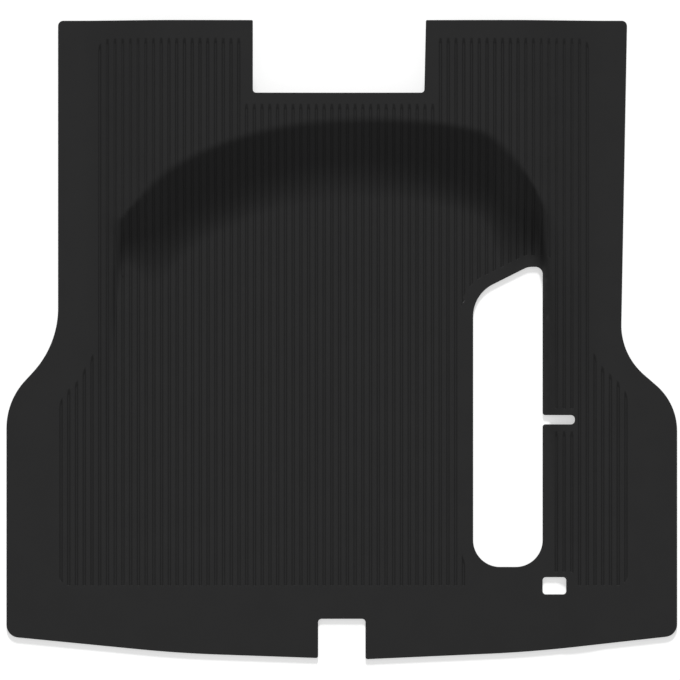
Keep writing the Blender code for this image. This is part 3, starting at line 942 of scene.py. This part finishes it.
    def triangulated(self, points: np.ndarray, pairs: np.ndarray, rim: np.ndarray) -> np.ndarray:
        """Join the points of one face of the sheet by triangles that keep every given line.

        Args:
            points: Plan of the points inside the face.
            pairs: Points that have to be joined, counted from the first of them.
            rim: Plan of the face's own edge, which comes before the points in the count.

        Returns:
            The triangles that lie in the rubber, anticlockwise seen from above.
        """
        finest = 1e-6
        flattest = 2e-6
        everything = np.concatenate([rim, points])
        rim_pairs = np.stack([np.arange(len(rim)), self.rim_next], axis=1)
        lines = np.concatenate([rim_pairs, pairs + len(rim)]).tolist()
        found = delaunay_2d_cdt([Vector(point) for point in everything.tolist()], lines, [], 0, finest)
        if len(found[0]) != len(everything):
            raise RuntimeError("the triangulation has to keep every point and add none")
        faces = np.array(found[2])
        doubtful = (faces < len(rim)).all(axis=1)
        corners = everything[faces[doubtful]]
        sides = np.roll(corners, -1, axis=1) - corners
        twice_area = sides[:, 0, 0] * sides[:, 1, 1] - sides[:, 0, 1] * sides[:, 1, 0]
        rise = np.abs(twice_area) / np.hypot(sides[..., 0], sides[..., 1]).max(axis=1)
        kept = np.ones(len(faces), dtype=bool)
        kept[doubtful] = self.in_rubber(corners.mean(axis=1), rim) & (rise > flattest)
        return faces[kept]

    def top_face(self, rim: np.ndarray) -> tuple[np.ndarray, np.ndarray, np.ndarray]:
        """Work out the grooved top: the floor's height, plus the thickness, less the groove's depth.

        Args:
            rim: Plan of the top's own edge.

        Returns:
            The points inside the edge, their normals, and the triangles, which count the edge first.
        """
        grooves, depth, leans, pairs = self.groove_points()
        border = self.lattice(self.border_spacing)
        border = border[~self.ribs.contains(border)]
        points = np.concatenate([grooves, border])
        faces = self.triangulated(points, pairs, rim)
        sunk = np.concatenate([depth, np.zeros(len(border))])
        upright = np.broadcast_to([0.0, 0.0, 1.0], (len(border), 3))
        normals = self.floor.sheared(points, np.concatenate([leans, upright]))
        height = self.floor.height(points[:, 0], points[:, 1]) + self.thickness - sunk
        return np.concatenate([points, height[:, None]], axis=1), normals, faces

    def lower_face(self, rim: np.ndarray) -> tuple[np.ndarray, np.ndarray, np.ndarray]:
        """Work out the plain underside, which follows the floor's height.

        Args:
            rim: Plan of the underside's own edge.

        Returns:
            The points inside the edge, their normals, and the triangles, which count the edge first.
        """
        lowest_lift = 0.0001
        points = self.lattice(self.underside_spacing)
        points = points[self.floor.height(points[:, 0], points[:, 1]) > lowest_lift]
        faces = self.triangulated(points, np.zeros((0, 2), dtype=int), rim)
        normals = self.floor.sheared(points, np.broadcast_to([0.0, 0.0, -1.0], (len(points), 3)))
        height = self.floor.height(points[:, 0], points[:, 1])
        return np.concatenate([points, height[:, None]], axis=1), normals, faces[:, ::-1]

    def build(self) -> bpy.types.Object:
        """Join the edge, the top and the underside into one closed mesh.

        Returns:
            The sheet, linked to the scene.
        """
        edge, edge_normals = self.edge_band()
        rows, count = edge.shape[:2]
        top, top_normals, top_faces = self.top_face(edge[0, :, :2])
        lower, lower_normals, lower_faces = self.lower_face(edge[-1, :, :2])
        last_row = (rows - 1) * count
        top_faces = np.where(top_faces < count, top_faces, top_faces + last_row)
        lower_faces = np.where(lower_faces < count, lower_faces + last_row, lower_faces + last_row + len(top))
        points = np.concatenate([edge.reshape(-1, 3), top, lower])
        normals = np.concatenate([edge_normals.reshape(-1, 3), top_normals, lower_normals])
        faces = np.concatenate([self.edge_faces(rows), top_faces, lower_faces])
        mesh = bpy.data.meshes.new("moulded_sheet")
        mesh.vertices.add(len(points))
        mesh.vertices.foreach_set("co", points.astype(np.float32).ravel())
        mesh.loops.add(faces.size)
        mesh.loops.foreach_set("vertex_index", faces.astype(np.int32).ravel())
        mesh.polygons.add(len(faces))
        mesh.polygons.foreach_set("loop_start", np.arange(0, faces.size, 3, dtype=np.int32))
        mesh.update(calc_edges=True)
        mesh.shade_smooth()
        mesh.normals_split_custom_set_from_vertices(normals.tolist())
        sheet = bpy.data.objects.new("moulded_sheet", mesh)
        bpy.context.scene.collection.objects.link(sheet)
        LOG.info("moulded_sheet: %d points, %d triangles", len(points), len(faces))
        return sheet


@dataclass(frozen=True)
class MouldedRubber:
    """Black moulded rubber: matt, with a fine grain and a slight unevenness of tone."""

    colour: tuple[float, float, float] = (0.0144, 0.0144, 0.0146)
    roughness: float = 0.62
    specular: float = 0.20
    tone_share: float = 0.04
    grain_size: float = 0.0011
    grain_depth: float = 0.00004
    tone_size: float = 0.060
    tone_start: float = 0.3
    tone_end: float = 0.7
    noise_detail: float = 3.0
    noise_roughness: float = 0.55

    def noise(self, tree: bpy.types.NodeTree, kind: Texture) -> bpy.types.Node:
        """Add a noise on Object coordinates, whose scale is one over the size of its features.

        Args:
            tree: Nodes of the material.
            kind: Texture that the noise is for.

        Returns:
            The noise.
        """
        sizes = {Texture.GRAIN: self.grain_size, Texture.TONE: self.tone_size}
        coordinate = tree.nodes.new("ShaderNodeTexCoord")
        noise = tree.nodes.new("ShaderNodeTexNoise")
        noise.inputs["Scale"].default_value = 1 / sizes[kind]
        noise.inputs["Detail"].default_value = self.noise_detail
        noise.inputs["Roughness"].default_value = self.noise_roughness
        tree.links.new(coordinate.outputs["Object"], noise.inputs["Vector"])
        return noise

    def material(self) -> bpy.types.Material:
        """Make the material: the tone follows a broad noise and the bump a fine one.

        Returns:
            The material.
        """
        material = bpy.data.materials.new("moulded_rubber")
        material.use_nodes = True
        tree = material.node_tree
        shader = tree.nodes["Principled BSDF"]
        shader.inputs["Roughness"].default_value = self.roughness
        shader.inputs["Specular IOR Level"].default_value = self.specular
        shader.inputs["Metallic"].default_value = 0.0
        tone = self.noise(tree, Texture.TONE)
        ramp = tree.nodes.new("ShaderNodeValToRGB")
        ramp.color_ramp.elements[0].position = self.tone_start
        ramp.color_ramp.elements[1].position = self.tone_end
        for element, share in zip(ramp.color_ramp.elements, (1 - self.tone_share, 1 + self.tone_share)):
            element.color = (*(channel * share for channel in self.colour), 1.0)
        tree.links.new(tone.outputs["Fac"], ramp.inputs["Fac"])
        tree.links.new(ramp.outputs["Color"], shader.inputs["Base Color"])
        grain = self.noise(tree, Texture.GRAIN)
        bump = tree.nodes.new("ShaderNodeBump")
        bump.inputs["Distance"].default_value = self.grain_depth
        tree.links.new(grain.outputs["Fac"], bump.inputs["Height"])
        tree.links.new(bump.outputs["Normal"], shader.inputs["Normal"])
        return material


@dataclass(frozen=True)
class Studio:
    """Pale floor, even light from all round, and a broad low lamp before the car's front edge."""

    fill: float = 0.45
    key: float = 0.55
    key_elevation: float = math.radians(21.3)
    key_breadth: float = math.radians(9.5)
    floor_reach: float = 60.0
    floor_tone: float = 0.60
    floor_glow: float = 0.50

    def world(self) -> None:
        """Light the object evenly from all round, at the strength of the fill."""
        world = bpy.data.worlds.new("studio")
        world.use_nodes = True
        background = world.node_tree.nodes["Background"]
        background.inputs["Color"].default_value = (1.0, 1.0, 1.0, 1.0)
        background.inputs["Strength"].default_value = self.fill
        bpy.context.scene.world = world

    def lamp(self) -> None:
        """Add the key lamp, whose strength lights level white to its share of full white.

        Level ground gets the strength times the sine of the elevation, and renders at that over pi.
        """
        light = bpy.data.lights.new("key", "SUN")
        light.energy = self.key * math.pi / math.sin(self.key_elevation)
        light.angle = self.key_breadth
        lamp = bpy.data.objects.new("key", light)
        lamp.rotation_euler = (self.key_elevation - math.pi / 2, 0.0, 0.0)
        bpy.context.scene.collection.objects.link(lamp)

    def floor(self) -> bpy.types.Object:
        """Make the floor, which glows for the camera so that it shows white around the shadow.

        Returns:
            The floor, linked to the scene.
        """
        mesh = bpy.data.meshes.new("studio_floor")
        reach = self.floor_reach
        corners = [(-reach, -reach, 0.0), (reach, -reach, 0.0), (reach, reach, 0.0), (-reach, reach, 0.0)]
        mesh.from_pydata(corners, [], [(0, 1, 2, 3)])
        floor = bpy.data.objects.new("studio_floor", mesh)
        bpy.context.scene.collection.objects.link(floor)
        material = bpy.data.materials.new("studio_floor")
        material.use_nodes = True
        tree = material.node_tree
        shader = tree.nodes["Principled BSDF"]
        shader.inputs["Base Color"].default_value = (self.floor_tone,) * 3 + (1.0,)
        shader.inputs["Roughness"].default_value = 1.0
        shader.inputs["Specular IOR Level"].default_value = 0.0
        path = tree.nodes.new("ShaderNodeLightPath")
        seen = path.outputs["Is Camera Ray"]
        for ray in ("Is Glossy Ray", "Is Transmission Ray"):
            either = tree.nodes.new("ShaderNodeMath")
            either.operation = "MAXIMUM"
            tree.links.new(seen, either.inputs[0])
            tree.links.new(path.outputs[ray], either.inputs[1])
            seen = either.outputs[0]
        strength = tree.nodes.new("ShaderNodeMath")
        strength.operation = "MULTIPLY"
        strength.inputs[1].default_value = self.floor_glow
        tree.links.new(seen, strength.inputs[0])
        shader.inputs["Emission Color"].default_value = (1.0, 1.0, 1.0, 1.0)
        tree.links.new(strength.outputs[0], shader.inputs["Emission Strength"])
        mesh.materials.append(material)
        return floor

    def build(self) -> None:
        """Set the world and the lamp, and add the floor."""
        self.world()
        self.lamp()
        self.floor()
        bpy.context.scene.view_settings.view_transform = "Standard"


@dataclass(frozen=True)
class OverheadCamera:
    """Camera straight above the liner, so far up that its height hardly shifts its edges.

    The liner's middle is given in pixels from the left and the top of the view.
    """

    pixels: int = 680
    pixel_size: float = 0.0019
    liner_middle_x: float = 341.8
    liner_middle_y: float = 340.0
    lens: float = 600.0
    sensor: float = 36.0
    farthest_seen: float = 200.0

    def build(self) -> None:
        """Place the camera where the frame's width fills its view at the level of the floor."""
        data = bpy.data.cameras.new("camera")
        data.lens = self.lens
        data.sensor_width = self.sensor
        data.clip_end = self.farthest_seen
        camera = bpy.data.objects.new("camera", data)
        half = self.pixels / 2
        x = (half - self.liner_middle_x) * self.pixel_size
        y = (self.liner_middle_y - half) * self.pixel_size
        height = self.pixels * self.pixel_size * self.lens / self.sensor
        camera.location = (x, y, height)
        bpy.context.scene.collection.objects.link(camera)
        bpy.context.scene.camera = camera


def main() -> None:
    """Build the studio, the camera and the liner, and hide the imported part."""
    logging.basicConfig(level=logging.INFO, format="%(name)s %(message)s")
    Studio().build()
    OverheadCamera().build()
    sheet = BootLiner().build()
    sheet.data.materials.append(MouldedRubber().material())
    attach(sheet, "root")
    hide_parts("boot_liner")
    LOG.info("%s rides on the root body", sheet.name)


if __name__ == "__main__":
    main()
